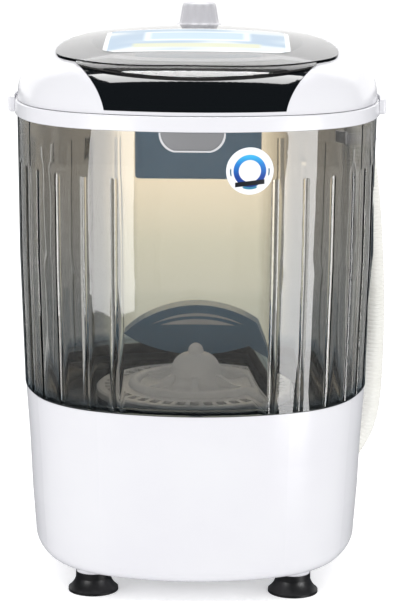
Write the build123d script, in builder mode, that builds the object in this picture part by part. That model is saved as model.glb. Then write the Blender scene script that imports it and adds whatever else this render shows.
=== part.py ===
from build123d import *
import os
from math import acos, cos, pi, radians, sin, sqrt, tan

# Portable mini washer. Millimetres, +Z up, front towards -Y, origin on the floor under the centre.

# ---- driving dimensions -------------------------------------------------------------------------
BODY_HALF = 181.0  # half width of the tub at its top, the same in X and Y
SIDE_RADIUS = 250.0  # plan radius of each bulging side at BODY_HALF
CORNER_RADIUS = 122.0  # plan radius of each rounded corner at BODY_HALF

BASE_LEVELS = ((23.2, 164.0), (84.0, 168.3), (140.0, 170.8), (195.0, 174.5))  # height, half width
BASE_BOTTOM = BASE_LEVELS[0][0]
BASE_TOP = BASE_LEVELS[-1][0]
BASE_WALL = 3.2
BASE_FLOOR = 5.6
BASE_EDGE_RADIUS = 16.0

TUB_LEVELS = ((195.8, 175.2), (330.0, 179.6), (477.5, 181.0))  # height, half width of the outside
TUB_WALL = 3.4
TUB_FLOOR_TOP = 176.0
TUB_FLOOR = 4.0
INSERT_HALF = 167.6  # the tub's lower end, which drops into the base
LEDGE_Z = 200.0

COLLAR_BOTTOM = 469.5
COLLAR_TOP = 484.0
COLLAR_HALF = 183.4
COLLAR_SKIRT_HALF = 181.8
COLLAR_FLANGE_Z = 478.2
COLLAR_INNER_HALF = 164.0

COVER_BOTTOM = 484.6
COVER_HALF = 180.8
COVER_DRAFT = 3.0  # degrees
COVER_WALL = 3.0
DOME_RADIUS = 817.0  # the deck is part of a large sphere
DOME_Y = 44.0  # the crown sits behind the centre
DOME_TOP = 549.6
SHOULDER_RADIUS = 45.0
MOUTH_HALF = 104.0
MOUTH_Y = -22.0

# X and Y, the right side
LID_OUTLINE = ((0, -149.5), (45, -146.0), (84, -131.5), (115, -106.0), (133, -80.0), (138.7, -55.0),
               (137.2, -28.0), (131.5, 0.0), (121, 32.0), (105, 64.0), (82, 90.0), (54, 110.0))
LID_REAR_Y = 121.0
LID_GAP = 0.4
LID_THICKNESS = 2.6
LIP_THICKNESS = 1.6
HINGE_Y = 132.0
HINGE_Z = 540.0
HINGE_X = (36.0, 48.0)  # each lid knuckle spans these X values, mirrored
HINGE_PIN_RADIUS = 2.0

KNOB_Y = 113.0
KNOB_TOP = 572.7
KNOB_FLANGE_RADIUS = 23.5
NOTCH_RADIUS = 30.0

FOOT_X = 100.0
FOOT_Y = 106.0
FOOT_RADIUS = 25.0
FOOT_TOP = 20.0

SHAFT_RADIUS = 6.0
BELT_Z = 62.0
MOTOR_Y = 100.0
DRIVEN_PITCH_RADIUS = 51.5
MOTOR_PITCH_RADIUS = 10.5
HOSE_RADIUS = 12.3
FIT = 0.05  # radial clearance of screws, pins and shafts

BOTTOM_UP = (Align.CENTER, Align.CENTER, Align.MIN)
MIRRORED = (1, -1)
CORNERS = [(x, y) for x in MIRRORED for y in MIRRORED]


# ---- outlines and shells ------------------------------------------------------------------------
def outline_points(half, side_radius, corner_radius):
    """One side arc and one corner arc of a rounded square, tangent to each other."""
    turn = acos((side_radius - half) / (sqrt(2) * (side_radius - corner_radius))) - pi / 4
    join = (side_radius * sin(turn), half - side_radius + side_radius * cos(turn))
    reach = (side_radius - corner_radius) * sin(turn) + corner_radius / sqrt(2)
    return [(-join[0], join[1]), (0, half), join, (reach, reach), (join[1], join[0])]


def rounded_square(half, side_radius, corner_radius, center_y=0.0):
    """Adds a face with four bulging sides and four tangent corners to the sketch in hand."""
    quarter = outline_points(half, side_radius, corner_radius)
    with BuildLine() as outline:
        for step in range(4):
            turned = [Vector(x, y).rotate(Axis.Z, -90 * step) + Vector(0, center_y) for x, y in quarter]
            ThreePointArc(*turned[:3])
            ThreePointArc(*turned[2:])
    make_face(outline.edges())


def body_outline(half):
    """The body's outline, kept parallel to itself as it grows or shrinks."""
    grow = half - BODY_HALF
    rounded_square(half, SIDE_RADIUS + grow, CORNER_RADIUS + grow)


def scaled_outline(half, center_y):
    """A smaller outline with the body's proportions."""
    scale = half / BODY_HALF
    rounded_square(half, SIDE_RADIUS * scale, CORNER_RADIUS * scale, center_y)


def tower(levels, grow=0.0):
    """A solid through the body's outline at several heights."""
    with BuildPart() as solid:
        for height, half in levels:
            with BuildSketch(Plane.XY.offset(height)):
                body_outline(half + grow)
        loft(ruled=True)
    return solid.part


def rounded_tower(levels, radius, grow=0.0):
    """A tower whose bottom edge is rounded."""
    with BuildPart() as solid:
        add(tower(levels, grow))
        fillet(solid.faces().sort_by(Axis.Z)[0].edges(), radius)
    return solid.part


def prism(half, low, high, center_y=0.0):
    """A straight column with the body's proportions."""
    with BuildPart() as solid:
        with BuildSketch(Plane.XY.offset(low)):
            scaled_outline(half, center_y)
        extrude(amount=high - low)
    return solid.part


def wall_spot(half, along, height):
    """Point and outward direction on the body's outline, that far along it from the front's middle."""
    grow = half - BODY_HALF
    side, corner = SIDE_RADIUS + grow, CORNER_RADIUS + grow
    turn = acos((side - half) / (sqrt(2) * (side - corner))) - pi / 4
    quarter = 2 * side * turn + corner * (pi / 2 - 2 * turn)
    steps, rest = divmod(along, quarter)
    if rest < side * turn:
        angle, radius, center = rest / side, side, Vector(0, side - half)
    elif rest < quarter - side * turn:
        reach = (side - corner) * sin(turn)
        angle, radius, center = turn + (rest - side * turn) / corner, corner, Vector(reach, -reach)
    else:
        angle, radius, center = pi / 2 - (quarter - rest) / side, side, Vector(half - side, 0)
    outwards = Vector(sin(angle), -cos(angle))
    spot = (center + outwards * radius).rotate(Axis.Z, 90 * steps)
    return spot + Vector(0, 0, height), outwards.rotate(Axis.Z, 90 * steps)


def cover_form(inset=0.0, bottom=COVER_BOTTOM):
    """The top cover's outer form moved inwards by inset, as one solid."""
    top = 600.0
    lean = tan(radians(COVER_DRAFT))
    levels = [(z, COVER_HALF - inset - (z - COVER_BOTTOM) * lean) for z in (bottom, top)]
    with BuildPart() as form:
        add(tower(levels))
        with Locations((0, DOME_Y, DOME_TOP - DOME_RADIUS)):
            Sphere(DOME_RADIUS - inset, mode=Mode.INTERSECT)
        fillet(form.faces().sort_by(Axis.Z)[-1].edges(), SHOULDER_RADIUS - inset)
    return form.part


def dome_height(x, y, above=0.0):
    """Height of the deck's sphere, or of one that far above it, at a point in plan."""
    return DOME_TOP - DOME_RADIUS + sqrt((DOME_RADIUS + above) ** 2 - x * x - (y - DOME_Y) ** 2)


def finish(builder, label):
    """Names one finished piece and writes its file."""
    builder.part.label = label
    export_step(builder.part, f"parts/{label}.step")


os.makedirs("parts", exist_ok=True)

# ---- base ---------------------------------------------------------------------------------------
FEET = [(x * FOOT_X, y * FOOT_Y) for x, y in CORNERS]
BOSS_RADIUS = 17.0
BOSS_TOP = 36.0
OPENING_RADIUS = 90.0
PLATE_RADIUS = 101.0
PLATE_THICKNESS = 2.5
PLATE_SCREW_RADIUS = 95.5
PLATE_SCREWS = 6
SCREW_RADIUS = 1.7
STUD_RADIUS = 3.0
STUD_TOP = 33.0
MOTOR_POSTS = [(x * 66.0, MOTOR_Y) for x in MIRRORED]
POST_RADIUS = 8.0
POST_TOP = 70.0
GROMMET_RADIUS = 12.6
SPOUT_TUBE_RADIUS = 9.5
GLAND_HALF = 166.6  # half width of the base at the mains gland
GLAND_Z = 60.0
GLAND_RADIUS = 8.0
REAR_LEFT_ALONG = -510.0  # along the base's outline, past the rear left corner

SPOUT_BEND = Vector(140, 121, 50)
SPOUT_OUT = Vector(0.851, 0.525, 0).normalized()
SPOUT_UP = Vector(0.62, 0.28, 0.733).normalized()
SPOUT_START = SPOUT_BEND - SPOUT_OUT * 50
SPOUT_MOUTH = SPOUT_BEND + SPOUT_UP * 26
DRAIN_AXIS = SPOUT_BEND - SPOUT_OUT * 80

base_outer = rounded_tower(BASE_LEVELS, BASE_EDGE_RADIUS)
cavity_levels = [(BASE_BOTTOM + BASE_FLOOR, BASE_LEVELS[0][1] + 0.4), *BASE_LEVELS[1:-1]]
cavity_levels.append((BASE_TOP + 1, BASE_LEVELS[-1][1] + 0.1))
base_cavity = rounded_tower(cavity_levels, BASE_EDGE_RADIUS - BASE_WALL, -BASE_WALL)
spout_plane = Plane(origin=SPOUT_START, x_dir=(0, 0, 1), z_dir=SPOUT_OUT)
gland_spot, gland_out = wall_spot(GLAND_HALF, REAR_LEFT_ALONG, GLAND_Z)
gland_plane = Plane(origin=gland_spot, x_dir=(0, 0, 1), z_dir=gland_out)

with BuildPart() as base_housing:
    add(base_outer)
    add(base_cavity, mode=Mode.SUBTRACT)
    with Locations(*[(x, y, FOOT_TOP) for x, y in FEET]):
        Cylinder(BOSS_RADIUS, BOSS_TOP - FOOT_TOP, align=BOTTOM_UP)
    with Locations(*[(x, y, BASE_BOTTOM + 1) for x, y in MOTOR_POSTS]):
        Cylinder(POST_RADIUS, POST_TOP - BASE_BOTTOM - 1, align=BOTTOM_UP)
    with Locations((0, 0, BASE_BOTTOM)):
        Cylinder(OPENING_RADIUS, BASE_FLOOR + 1, align=BOTTOM_UP, mode=Mode.SUBTRACT)
        Cylinder(PLATE_RADIUS + 0.4, PLATE_THICKNESS + 0.1, align=BOTTOM_UP, mode=Mode.SUBTRACT)
        with PolarLocations(PLATE_SCREW_RADIUS, PLATE_SCREWS, start_angle=30):
            Cylinder(SCREW_RADIUS + FIT, BASE_FLOOR + 1, align=BOTTOM_UP, mode=Mode.SUBTRACT)
    with Locations(*[(x, y, FOOT_TOP) for x, y in FEET]):
        Cylinder(STUD_RADIUS + FIT, STUD_TOP - FOOT_TOP + 1, align=BOTTOM_UP, mode=Mode.SUBTRACT)
    with Locations(*[(x, y, POST_TOP) for x, y in MOTOR_POSTS]):
        Cylinder(2.0 + FIT, 40, mode=Mode.SUBTRACT)
    with BuildSketch(spout_plane):
        Circle(GROMMET_RADIUS)
    extrude(amount=90, mode=Mode.SUBTRACT)
    with BuildSketch(gland_plane):
        Circle(GLAND_RADIUS + FIT)
    extrude(amount=10, both=True, mode=Mode.SUBTRACT)
finish(base_housing, "base_housing")

with BuildPart() as bottom_cover:
    with BuildSketch(Plane.XY.offset(BASE_BOTTOM)):
        Circle(PLATE_RADIUS)
        with PolarLocations(PLATE_SCREW_RADIUS, PLATE_SCREWS, start_angle=30):
            Circle(2.2, mode=Mode.SUBTRACT)
        with GridLocations(1, 13, 1, 9):
            SlotOverall(96, 5, mode=Mode.SUBTRACT)
    extrude(amount=PLATE_THICKNESS)
finish(bottom_cover, "bottom_cover")

with BuildPart() as bottom_cover_screws:
    with Locations((0, 0, BASE_BOTTOM - 1.8)):
        with PolarLocations(PLATE_SCREW_RADIUS, PLATE_SCREWS, start_angle=30):
            Cylinder(3.4, 1.8, align=BOTTOM_UP)
            Cylinder(SCREW_RADIUS, 7.2, align=BOTTOM_UP)
finish(bottom_cover_screws, "bottom_cover_screws")

# ---- feet ---------------------------------------------------------------------------------------
STUD_BOTTOM = 10.0
STUD_HEAD = 3.0
foot_names = {(1, -1): "foot_front_right", (-1, -1): "foot_front_left"}
foot_names.update({(1, 1): "foot_rear_right", (-1, 1): "foot_rear_left"})

for (side_x, side_y), foot_name in foot_names.items():
    with BuildPart() as foot:
        with BuildSketch(Plane.XZ):
            with BuildLine():
                rim = Polyline((21.5, 0), (FOOT_RADIUS, 0), (FOOT_RADIUS, 2.6))
                flare = ThreePointArc(rim @ 1, (20.4, 7.4), (17.5, 13.5))
                Polyline(flare @ 1, (17.5, FOOT_TOP), (0, FOOT_TOP), (0, 5.0))
                ThreePointArc((0, 5.0), (12.5, 3.6), (21.5, 0))
            make_face()
        revolve(axis=Axis.Z)
        with Locations((0, 0, STUD_BOTTOM)):
            Cylinder(STUD_RADIUS + FIT, FOOT_TOP, align=BOTTOM_UP, mode=Mode.SUBTRACT)
            Cylinder(6.0 + FIT, STUD_HEAD + FIT, align=BOTTOM_UP, mode=Mode.SUBTRACT)
    foot.part.position = (side_x * FOOT_X, side_y * FOOT_Y, 0)
    finish(foot, foot_name)

with BuildPart() as foot_studs:
    with Locations(*[(x, y, STUD_BOTTOM) for x, y in FEET]):
        Cylinder(STUD_RADIUS, STUD_TOP - STUD_BOTTOM, align=BOTTOM_UP)
        Cylinder(6.0, STUD_HEAD, align=BOTTOM_UP)
finish(foot_studs, "foot_studs")

# ---- wash tub -----------------------------------------------------------------------------------
FLUTE_RADIUS = 5.0
FLUTE_DEPTH = 1.7
FLUTE_TOP = 424.0
FLUTE_FIRST = 77.5  # distance along the wall from the middle of the front
FLUTE_PITCH = 32.0
FLUTES_PER_SIDE = 14
UPPER_LEVELS = ((LEDGE_Z, TUB_LEVELS[0][1]), TUB_LEVELS[1], (TUB_LEVELS[2][0] + 1, TUB_LEVELS[2][1]))
FLOOR_LEVELS = ((TUB_FLOOR_TOP, INSERT_HALF), (LEDGE_Z + 6, INSERT_HALF + 1))
FLOOR_ROUNDING = 22.0
HUB_BORE = 19.0
DRAIN_RADIUS = 17.0
HOUSING_SCREWS = 4
HOUSING_SCREW_RADIUS = 30.0


def flute_cutters():
    """Long thin cylinders that follow the tub's wall, half sunk into it."""
    low, middle, high = TUB_LEVELS
    share = (FLUTE_TOP - middle[0]) / (high[0] - middle[0])
    stops = (low, middle, (FLUTE_TOP, middle[1] + share * (high[1] - middle[1])))
    cutters = []
    for side in MIRRORED:
        for step in range(FLUTES_PER_SIDE):
            along = side * (FLUTE_FIRST + step * FLUTE_PITCH)
            centers = []
            for height, half in stops:
                spot, outwards = wall_spot(half, along * half / BODY_HALF, height)
                centers.append(spot + outwards * (FLUTE_RADIUS - FLUTE_DEPTH))
            for start, end in zip(centers, centers[1:]):
                run = end - start
                cutters.append(Solid.make_cylinder(FLUTE_RADIUS, run.length, Plane(start, z_dir=run)))
    return cutters


flutes = flute_cutters()
with BuildPart() as wash_tub:
    add(tower(TUB_LEVELS))
    add(tower(((TUB_FLOOR_TOP - TUB_FLOOR, INSERT_HALF), (LEDGE_Z, INSERT_HALF + 0.6))))
    add(rounded_tower(FLOOR_LEVELS, FLOOR_ROUNDING, -TUB_WALL), mode=Mode.SUBTRACT)
    add(tower(UPPER_LEVELS, -TUB_WALL), mode=Mode.SUBTRACT)
    with Locations((0, 0, TUB_FLOOR_TOP)):
        Cylinder(HUB_BORE, 20, mode=Mode.SUBTRACT)
        with PolarLocations(HOUSING_SCREW_RADIUS, HOUSING_SCREWS, start_angle=45):
            Cylinder(2.1, 20, mode=Mode.SUBTRACT)
    with Locations((DRAIN_AXIS.X, DRAIN_AXIS.Y, TUB_FLOOR_TOP)):
        Cylinder(DRAIN_RADIUS, 20, mode=Mode.SUBTRACT)
    add(flutes, mode=Mode.SUBTRACT)
finish(wash_tub, "wash_tub")

LINT_TRAP_HALF = 82.0
LINT_TRAP_TIP_Z = 213.0
LINT_TRAP_Z = (187.0, 242.0)
LINT_TRAP_FRONT = 143.0  # half width of the body's outline that its front follows
LINT_TRAP_SKIN = 3.0
# half length, height of the tips, of the lower edge's middle and of the upper edge's middle
LINT_BARS = ((49.0, 222.0, 230.0, 233.0), (40.0, 220.5, 220.6, 226.5))


def lens_column(half, tip_z, low, high):
    """A column along Y behind the middle, between two arcs that meet at its tips."""
    with BuildPart() as column:
        with BuildSketch(Plane.XZ.offset(-100)):
            with BuildLine():
                upper = ThreePointArc((-half, tip_z), (0, high), (half, tip_z))
                ThreePointArc(upper @ 1, (0, low), upper @ 0)
            make_face()
        extrude(amount=-90)
    return column.part


def straight_tower(half):
    """A tower that is taller than the tub, with the same outline all the way up."""
    return tower(((TUB_FLOOR_TOP - 10, half), (COVER_BOTTOM, half)))


with BuildPart() as lint_trap:
    add(rounded_tower(FLOOR_LEVELS, FLOOR_ROUNDING, -TUB_WALL - 0.1))
    add(tower(UPPER_LEVELS, -TUB_WALL - 0.1))
    add(straight_tower(LINT_TRAP_FRONT), mode=Mode.SUBTRACT)
    add(lens_column(LINT_TRAP_HALF, LINT_TRAP_TIP_Z, *LINT_TRAP_Z), mode=Mode.INTERSECT)
    with BuildPart(mode=Mode.PRIVATE) as trap_hollow:
        add(lens_column(LINT_TRAP_HALF - 4 * LINT_TRAP_SKIN, LINT_TRAP_TIP_Z,
                        LINT_TRAP_Z[0] + LINT_TRAP_SKIN, LINT_TRAP_Z[1] - LINT_TRAP_SKIN))
        add(straight_tower(LINT_TRAP_FRONT + LINT_TRAP_SKIN), mode=Mode.SUBTRACT)
    add(trap_hollow.part, mode=Mode.SUBTRACT)
finish(lint_trap, "lint_trap")

with BuildPart() as lint_bars:
    for half, tip_z, low, high in LINT_BARS:
        add(lens_column(half, tip_z, low, high))
    add(straight_tower(LINT_TRAP_FRONT - 0.05), mode=Mode.INTERSECT)
    add(straight_tower(LINT_TRAP_FRONT - 1.2), mode=Mode.SUBTRACT)
finish(lint_bars, "lint_bars")

with BuildPart() as tub_gasket:
    add(tower(((183.0, 170.0), (195.1, 170.0))))
    add(tower(((195.05, 174.0), (195.75, 174.0))))
    add(tower(((182.0, 168.6), (197.0, 168.6))), mode=Mode.SUBTRACT)
finish(tub_gasket, "tub_gasket")

# ---- collar and cover ---------------------------------------------------------------------------
COVER_SCREWS = [(x * 128.0, y * 128.0) for x, y in CORNERS]
COVER_BOSS_RADIUS = 5.4
COVER_PILOT_RADIUS = 1.9
FASCIA_BOTTOM = 488.2
FASCIA_BACK_Y = -110.0
FASCIA_RIM = 9.0  # from the mouth to the fascia
FASCIA_OUTLINE = ((85.2, FASCIA_BOTTOM), (93.4, 508.0), (115.0, 527.5))  # X and Z, the right side
TIMER_SCREWS = [(x * 14.0, KNOB_Y) for x in MIRRORED]
INLET_AT = (-101.0, 110.0)
INLET_RADIUS = 7.5
INLET_BORE = 5.8
INLET_FLANGE = 10.0
INLET_SINK = 1.4
SLOT_Y = (119.5, 140.0)
EAR_THICKNESS = 4.0
EAR_GAP = 0.6
GRIP_PEGS = (-18.0, 18.0)
GRIP_PEG_RADIUS = 2.5
GRIP_Z = 481.0

inlet_spot = Vector(*INLET_AT, dome_height(*INLET_AT))
inlet_up = (inlet_spot - Vector(0, DOME_Y, DOME_TOP - DOME_RADIUS)).normalized()
inlet_seat = Plane(origin=inlet_spot - inlet_up * INLET_SINK, z_dir=inlet_up)


def front_column(outline, margin, back_y):
    """A column along Y in front of back_y, with the fascia's arched outline grown by margin."""
    (low_x, low_z), (mid_x, mid_z), (top_x, top_z) = outline
    with BuildPart() as column:
        with BuildSketch(Plane.XZ.offset(-back_y)):
            with BuildLine():
                right = ThreePointArc((low_x, low_z), (mid_x, mid_z), (top_x, top_z))
                left = ThreePointArc((-top_x, top_z), (-mid_x, mid_z), (-low_x, low_z))
                Line(left @ 1, right @ 0)
                Polyline(right @ 1, (top_x, top_z + 30), (-top_x, top_z + 30), left @ 0)
            make_face()
            if margin:
                offset(amount=margin, kind=Kind.INTERSECTION)
        extrude(amount=100)
        add(prism(MOUTH_HALF + FASCIA_RIM - margin, 470, 620, MOUTH_Y), mode=Mode.SUBTRACT)
    return column.part


with BuildPart() as top_collar:
    add(tower(((COLLAR_BOTTOM, COLLAR_HALF), (COLLAR_TOP, COLLAR_HALF))))
    fillet(top_collar.edges().group_by(Axis.Z)[-1] + top_collar.edges().group_by(Axis.Z)[0], 1.2)
    skirt = ((COLLAR_BOTTOM - 1, COLLAR_SKIRT_HALF), (COLLAR_FLANGE_Z, COLLAR_SKIRT_HALF))
    add(tower(skirt), mode=Mode.SUBTRACT)
    add(tower(((COLLAR_BOTTOM, COLLAR_INNER_HALF), (COLLAR_TOP + 1, COLLAR_INNER_HALF))), mode=Mode.SUBTRACT)
    with Locations(*[(x, y, COLLAR_TOP) for x, y in COVER_SCREWS]):
        Cylinder(COVER_PILOT_RADIUS + 0.2, 20, mode=Mode.SUBTRACT)
    with Locations(*[(x * COLLAR_HALF, y, GRIP_Z) for x in MIRRORED for y in GRIP_PEGS]):
        Cylinder(GRIP_PEG_RADIUS + FIT, 20, rotation=(0, 90, 0), mode=Mode.SUBTRACT)
finish(top_collar, "top_collar")

cover_solid = cover_form()
cover_cavity = cover_form(COVER_WALL, COVER_BOTTOM - 1)
mouth = prism(MOUTH_HALF, COVER_BOTTOM, 600, MOUTH_Y)
with BuildPart() as mouth_rim:
    add(prism(MOUTH_HALF + COVER_WALL, 522, 600, MOUTH_Y))
    add(cover_form(1.0), mode=Mode.INTERSECT)
with BuildPart() as cover_posts:
    with Locations(*[(x, y, COLLAR_TOP) for x, y in COVER_SCREWS]):
        Cylinder(COVER_BOSS_RADIUS, 60, align=BOTTOM_UP)
    add(cover_form(1.5, COVER_BOTTOM - 2), mode=Mode.INTERSECT)
with BuildPart() as hinge_ears:
    for side in MIRRORED:
        for ear_x in (HINGE_X[0] - EAR_GAP - EAR_THICKNESS / 2, HINGE_X[1] + EAR_GAP + EAR_THICKNESS / 2):
            with Locations((side * ear_x, HINGE_Y, HINGE_Z)):
                Box(EAR_THICKNESS, 11, 12)
    add(cover_form(0.6), mode=Mode.INTERSECT)

with BuildPart() as top_cover:
    add(cover_solid)
    add(cover_cavity, mode=Mode.SUBTRACT)
    add(mouth_rim.part)
    add(cover_posts.part)
    add(hinge_ears.part)
    add(mouth, mode=Mode.SUBTRACT)
    add(front_column(FASCIA_OUTLINE, 0.4, FASCIA_BACK_Y), mode=Mode.SUBTRACT)
    for side in MIRRORED:
        with Locations((side * sum(HINGE_X) / 2, sum(SLOT_Y) / 2, HINGE_Z + 4)):
            Box(HINGE_X[1] - HINGE_X[0] + 2 * EAR_GAP, SLOT_Y[1] - SLOT_Y[0], 20, mode=Mode.SUBTRACT)
        with Locations((side * sum(HINGE_X) / 2, HINGE_Y, HINGE_Z)):
            Cylinder(HINGE_PIN_RADIUS + FIT, 40, rotation=(0, 90, 0), mode=Mode.SUBTRACT)
    with Locations((0, KNOB_Y, KNOB_TOP)):
        Cylinder(8.0, 80, mode=Mode.SUBTRACT)
    with Locations(*[(x, y, dome_height(x, y)) for x, y in TIMER_SCREWS]):
        Cylinder(1.9, 20, mode=Mode.SUBTRACT)
        Cylinder(3.4, 3.6, mode=Mode.SUBTRACT)
    with Locations(*[(x, y, COLLAR_TOP) for x, y in COVER_SCREWS]):
        Cylinder(COVER_PILOT_RADIUS + FIT, 40, mode=Mode.SUBTRACT)
    with BuildSketch(inlet_seat):
        Circle(INLET_FLANGE + 0.3)
    extrude(amount=10, mode=Mode.SUBTRACT)
    with BuildSketch(inlet_seat):
        Circle(INLET_RADIUS + 0.1)
    extrude(amount=20, both=True, mode=Mode.SUBTRACT)
finish(top_cover, "top_cover")

with BuildPart() as cover_screws:
    with Locations(*[(x, y, COLLAR_FLANGE_Z - 2.4) for x, y in COVER_SCREWS]):
        Cylinder(3.6, 2.4, align=BOTTOM_UP)
        Cylinder(COVER_PILOT_RADIUS, 24, align=BOTTOM_UP)
finish(cover_screws, "cover_screws")

with BuildPart() as fascia_flange:
    add(cover_form(COVER_WALL + 0.3))
    add(cover_form(COVER_WALL + 2.2, COVER_BOTTOM - 1), mode=Mode.SUBTRACT)
    add(front_column(FASCIA_OUTLINE, 2.5, FASCIA_BACK_Y + 3), mode=Mode.INTERSECT)
with BuildPart() as front_fascia:
    add(cover_form(0.8))
    add(cover_form(COVER_WALL + 1.0, COVER_BOTTOM - 1), mode=Mode.SUBTRACT)
    add(front_column(FASCIA_OUTLINE, 0, FASCIA_BACK_Y - 0.4), mode=Mode.INTERSECT)
    add(fascia_flange.part)
finish(front_fascia, "front_fascia")

# ---- trim on the outside ------------------------------------------------------------------------
BADGE_X = -2.2
BADGE_HALF = 31.2
BADGE_FLAT = 17.0  # half width of its straight lower edge
BADGE_TOP = 469.2
BADGE_BOTTOM = 451.0
BADGE_RIM = 1.6
STICKER_AT = (51.8, 433.1)  # X and Z
STICKER_RADIUS = 22.3
GRIP_HALF = 190.0
GRIP_LENGTH = 60.0


def wall_skin(near, far):
    """A skin that follows the tub's wall between two distances off it."""
    with BuildPart() as skin:
        add(tower(TUB_LEVELS, far))
        low, high = TUB_LEVELS[0], TUB_LEVELS[-1]
        add(tower(((low[0] - 1, low[1]), TUB_LEVELS[1], (high[0] + 1, high[1])), near), mode=Mode.SUBTRACT)
    return skin.part


def badge_column(margin):
    """A half-round column along Y for the badge, grown by margin."""
    with BuildPart() as column:
        with BuildSketch(Plane.XZ.offset(160)):
            with BuildLine():
                reach, flat, low = BADGE_HALF + margin, BADGE_FLAT, BADGE_BOTTOM - margin
                right = ThreePointArc((flat, low), (reach - 3.4, low + 6.6), (reach, BADGE_TOP))
                left = ThreePointArc((-reach, BADGE_TOP), (3.4 - reach, low + 6.6), (-flat, low))
                Line(right @ 1, left @ 0)
                Line(left @ 1, right @ 0)
            make_face()
        extrude(amount=40)
    return Pos(BADGE_X, 0, 0) * column.part


with BuildPart() as badge_plate:
    add(wall_skin(0.2, 1.5))
    add(badge_column(-BADGE_RIM), mode=Mode.INTERSECT)
finish(badge_plate, "badge_plate")

with BuildPart() as badge_frame:
    add(wall_skin(0.2, 2.3))
    add(badge_column(0), mode=Mode.INTERSECT)
    add(badge_column(-BADGE_RIM + 0.05), mode=Mode.SUBTRACT)
finish(badge_frame, "badge_frame")

with BuildPart() as sticker_column:
    with BuildSketch(Plane.XZ.offset(150)):
        with Locations(STICKER_AT):
            Circle(STICKER_RADIUS)
    extrude(amount=50)
with BuildPart() as round_sticker:
    add(wall_skin(0.1, 0.4))
    add(sticker_column.part, mode=Mode.INTERSECT)
finish(round_sticker, "round_sticker")

for side, grip_name in ((1, "side_grip_right"), (-1, "side_grip_left")):
    with BuildPart() as grip:
        add(tower(((471.0, GRIP_HALF), (487.0, GRIP_HALF))))
        fillet(grip.edges().group_by(Axis.Z)[-1] + grip.edges().group_by(Axis.Z)[0], 3.0)
        add(tower(((470.0, COLLAR_HALF + 0.2), (488.0, COLLAR_HALF + 0.2))), mode=Mode.SUBTRACT)
        with Locations((side * GRIP_HALF, 0, 479.0)):
            Box(40, GRIP_LENGTH, 30, mode=Mode.INTERSECT)
        fillet(grip.edges().filter_by(Axis.Z).group_by(Axis.X)[-1 if side > 0 else 0], 3.0)
        with Locations(*[(side * (COLLAR_HALF - 4.0), y, GRIP_Z) for y in GRIP_PEGS]):
            Cylinder(GRIP_PEG_RADIUS, 12, rotation=(0, 90, 0))
    finish(grip, grip_name)

# ---- lid ----------------------------------------------------------------------------------------
LIP_HALF = 115.0
LIP_TOP = 527.2
LIP_BOTTOM = 519.6
LIP_BACK_Y = -105.0
KNUCKLE_RADIUS = 4.2
LABEL_SIDE = ((80.0, -96.0), (91.0, -85.0), (91.0, 10.0), (80.0, 20.0))  # X and Y, the right side
LABEL_BOW = ((0.0, -107.0), (0.0, 11.0))  # middles of its front and rear edges
LABEL_THICKNESS = 0.25
LID_OUTER = -(LID_GAP + LID_THICKNESS)

with BuildPart() as lid_lip:
    add(cover_form(-LID_GAP - LIP_THICKNESS))
    add(cover_form(-LID_GAP, COVER_BOTTOM - 1), mode=Mode.SUBTRACT)
    with BuildSketch(Plane.XZ.offset(-LIP_BACK_Y)):
        with BuildLine():
            sweep_line = ThreePointArc((-LIP_HALF, LIP_TOP), (0, LIP_BOTTOM), (LIP_HALF, LIP_TOP))
            Polyline(sweep_line @ 1, (LIP_HALF, 560), (-LIP_HALF, 560), sweep_line @ 0)
        make_face()
    extrude(amount=100, mode=Mode.INTERSECT)
with BuildPart() as lid_plan:
    with BuildSketch(Plane.XY.offset(500)):
        with BuildLine():
            right_side = LID_OUTLINE[1:]
            left_side = [(-x, y) for x, y in reversed(right_side)]
            Spline(LID_OUTLINE[0], *right_side, (0, LID_REAR_Y), *left_side, periodic=True)
        make_face()
    extrude(amount=100)
    with Locations(*[(side * sum(HINGE_X) / 2, HINGE_Y - 22.0, 550) for side in MIRRORED]):
        Box(HINGE_X[1] - HINGE_X[0], 29.0, 100)
with BuildPart() as lid_arms:
    for side in MIRRORED:
        start = min(side * HINGE_X[0], side * HINGE_X[1])
        with BuildSketch(Plane.YZ.offset(start)):
            with BuildLine():
                Polyline((120.6, 543.5), (120.6, 552), (124.6, 552), (132.6, 544.1), (129.5, 536.7),
                         close=True)
            make_face()
            with Locations((HINGE_Y, HINGE_Z)):
                Circle(KNUCKLE_RADIUS)
        extrude(amount=HINGE_X[1] - HINGE_X[0])
    add(cover_form(LID_OUTER + 0.3), mode=Mode.INTERSECT)

with BuildPart() as lid:
    add(cover_form(LID_OUTER))
    add(cover_form(-LID_GAP, COVER_BOTTOM - 1), mode=Mode.SUBTRACT)
    add(lid_plan.part, mode=Mode.INTERSECT)
    add(lid_lip.part)
    with Locations((0, KNOB_Y, KNOB_TOP)):
        Cylinder(NOTCH_RADIUS, 80, mode=Mode.SUBTRACT)
    add(lid_arms.part)
    for side in MIRRORED:
        with Locations((side * sum(HINGE_X) / 2, HINGE_Y, HINGE_Z)):
            Cylinder(HINGE_PIN_RADIUS + 0.06, 30, rotation=(0, 90, 0), mode=Mode.SUBTRACT)
finish(lid, "lid")

with BuildPart() as lid_hinge_pins:
    for side in MIRRORED:
        with Locations((side * sum(HINGE_X) / 2, HINGE_Y, HINGE_Z)):
            Cylinder(HINGE_PIN_RADIUS, HINGE_X[1] - HINGE_X[0] + 9, rotation=(0, 90, 0))
finish(lid_hinge_pins, "lid_hinge_pins")

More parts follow.
